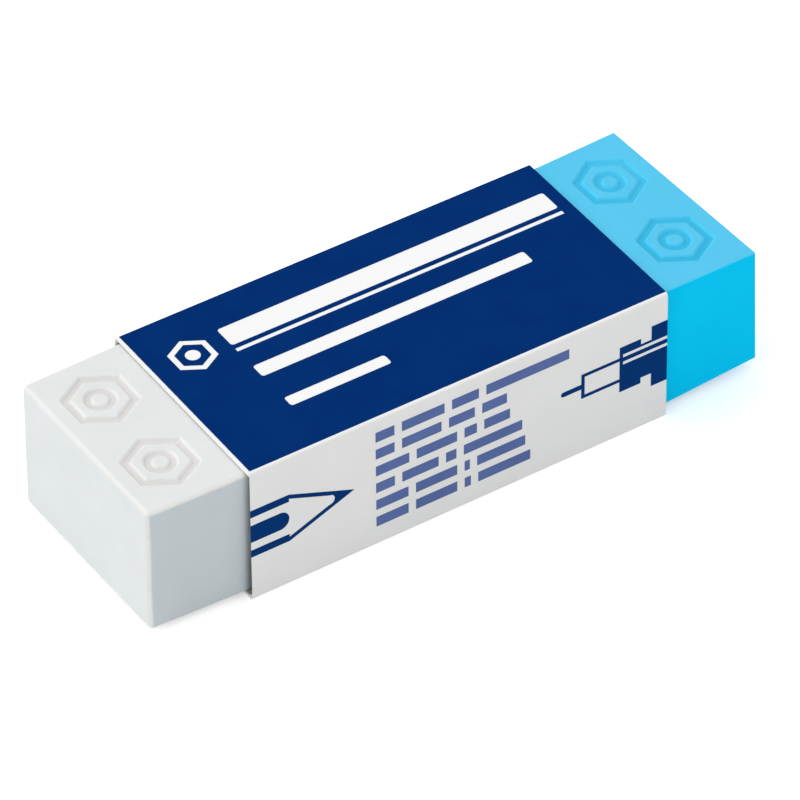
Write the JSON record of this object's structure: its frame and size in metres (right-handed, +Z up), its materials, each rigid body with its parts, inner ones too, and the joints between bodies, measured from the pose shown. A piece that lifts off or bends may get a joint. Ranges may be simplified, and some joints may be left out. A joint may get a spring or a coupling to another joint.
{
  "type": "rubber eraser",
  "caption": "Rectangular plastic eraser with a white pencil part and a blue ink part bonded end to end, in a printed folded card sleeve that slides along it.",
  "frame": {"origin": "middle of the underside of the card sleeve, where the eraser rests on the desk", "axes": "+X along the eraser towards the blue end, +Y towards the glued back panel of the sleeve, +Z up"},
  "size_m": [0.065, 0.023, 0.0145],
  "materials": {
    "white_vinyl": "soft matt moulded plastic",
    "blue_vinyl": "soft matt moulded plastic",
    "card": "smooth white board, lightly coated",
    "navy_ink": "satin printed ink",
    "front_ink": "satin printed ink"
  },
  "bodies": {
    "block": {"white_eraser": "white_vinyl", "blue_eraser": "blue_vinyl"},
    "sleeve": {"card_sleeve": "card", "top_print": "navy_ink", "front_print": "front_ink"}
  },
  "joints": [
    {"name": "sleeve_slide", "type": "slide", "parent": "block", "child": "sleeve", "axis": [1, 0, 0], "range_m": [-0.055, 0.055]}
  ]
}
